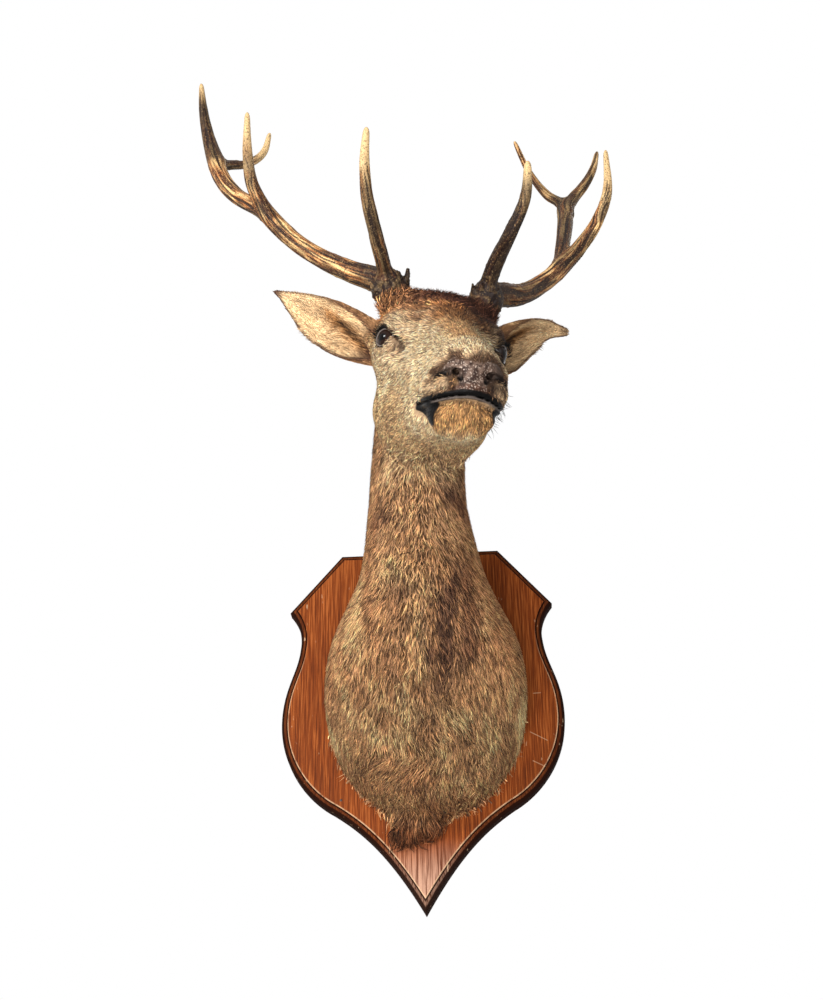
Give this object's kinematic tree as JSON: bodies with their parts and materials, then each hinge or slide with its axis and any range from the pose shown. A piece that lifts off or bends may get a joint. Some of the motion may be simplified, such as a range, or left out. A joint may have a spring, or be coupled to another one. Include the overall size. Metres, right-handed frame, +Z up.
{
  "type": "stag head mount",
  "caption": "Life-size red deer stag's head and neck with forked antlers, mounted on a pointed wooden shield board to hang on a wall.",
  "frame": {"origin": "middle of the shield board's flat back face, level with its widest part", "axes": "+X to the stag's left, which is the viewer's right; +Y into the wall; +Z up"},
  "size_m": [0.5839, 0.664, 1.1258],
  "materials": {
    "mahogany": "french-polished reddish brown wood with fine grain",
    "steel": "bare keyhole hanger plate",
    "face_coat": "short beige hair, darker on the crown",
    "neck_coat": "long coarse grey-brown hair with straw tips",
    "ear_coat": "short pale tan hair",
    "antler": "grooved and pearled brown antler with ivory tips",
    "eye_glass": "polished black-brown glass"
  },
  "bodies": {
    "root": {"shield_board": "mahogany", "hanger_plate": "steel", "head": "face_coat", "muzzle": "face_coat", "lower_jaw": "face_coat", "eye_right": "eye_glass", "ear_right": "ear_coat", "antler_right_beam_lower": "antler", "antler_right_beam_upper": "antler", "antler_right_brow_tine": "antler", "antler_right_trez_tine": "antler", "antler_right_outer_tine": "antler", "antler_right_inner_tine": "antler", "eye_left": "eye_glass", "ear_left": "ear_coat", "antler_left_beam_lower": "antler", "antler_left_beam_upper": "antler", "antler_left_brow_tine": "antler", "antler_left_trez_tine": "antler", "antler_left_outer_tine": "antler", "antler_left_inner_tine": "antler", "neck_upper": "neck_coat", "neck_lower": "neck_coat", "chest_tab": "neck_coat"}
  },
  "joints": []
}
